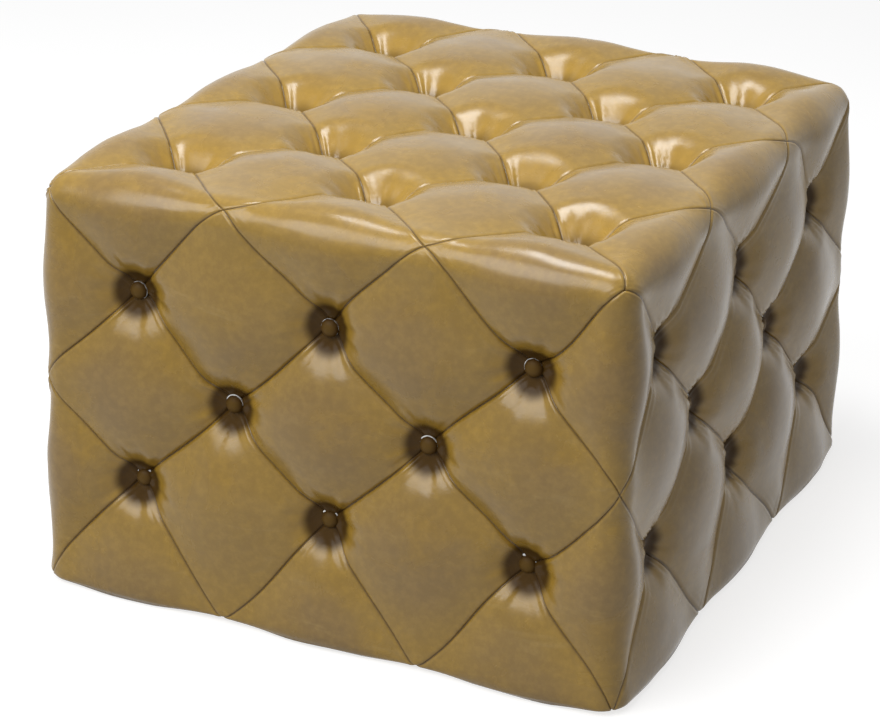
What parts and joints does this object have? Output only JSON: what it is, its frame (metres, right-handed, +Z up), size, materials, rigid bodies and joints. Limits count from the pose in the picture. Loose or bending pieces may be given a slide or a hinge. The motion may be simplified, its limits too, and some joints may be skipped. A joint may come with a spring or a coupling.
{
  "type": "footstool",
  "caption": "Low rectangular footstool with a deep-buttoned leather cover that runs over every edge and stands on low glides.",
  "frame": {"origin": "on the floor, under the middle of the stool", "axes": "+Z up, -Y towards the front face, +X to the right seen from the front"},
  "size_m": [0.5808, 0.6312, 0.4068],
  "materials": {
    "leather": "satin",
    "foam": "matte",
    "wadding": "matte",
    "softwood": "matte",
    "plywood": "matte",
    "steel": "satin",
    "twine": "matte",
    "dust_cover": "matte",
    "glide": "satin"
  },
  "bodies": {
    "root": {"board_staples": "steel", "bottom_rail_back": "softwood", "bottom_rail_front": "softwood", "bottom_rail_left": "softwood", "bottom_rail_right": "softwood", "brace_screws": "steel", "button_loops_back": "steel", "button_loops_front": "steel", "button_loops_left": "steel", "button_loops_right": "steel", "button_loops_top": "steel", "buttons_back": "leather", "buttons_front": "leather", "buttons_left": "leather", "buttons_right": "leather", "buttons_top": "leather", "corner_post_back_left": "softwood", "corner_post_back_right": "softwood", "corner_post_front_left": "softwood", "corner_post_front_right": "softwood", "deck_brace_left": "softwood", "deck_brace_right": "softwood", "deck_screws": "steel", "dust_cover": "dust_cover", "dust_cover_staples": "steel", "foam_back": "foam", "foam_front": "foam", "foam_left": "foam", "foam_right": "foam", "foam_top": "foam", "glide_back_left": "glide", "glide_back_right": "glide", "glide_front_left": "glide", "glide_front_right": "glide", "glide_nails": "steel", "hem_staples": "steel", "leather_cover": "leather", "rail_screws": "steel", "side_board_back": "plywood", "side_board_front": "plywood", "side_board_left": "plywood", "side_board_right": "plywood", "tie_staples_back": "steel", "tie_staples_front": "steel", "tie_staples_left": "steel", "tie_staples_right": "steel", "tie_staples_top": "steel", "top_deck": "plywood", "top_rail_back": "softwood", "top_rail_front": "softwood", "top_rail_left": "softwood", "top_rail_right": "softwood", "twine_ties_back": "twine", "twine_ties_front": "twine", "twine_ties_left": "twine", "twine_ties_right": "twine", "twine_ties_top": "twine", "wadding_wrap": "wadding"}
  },
  "joints": []
}
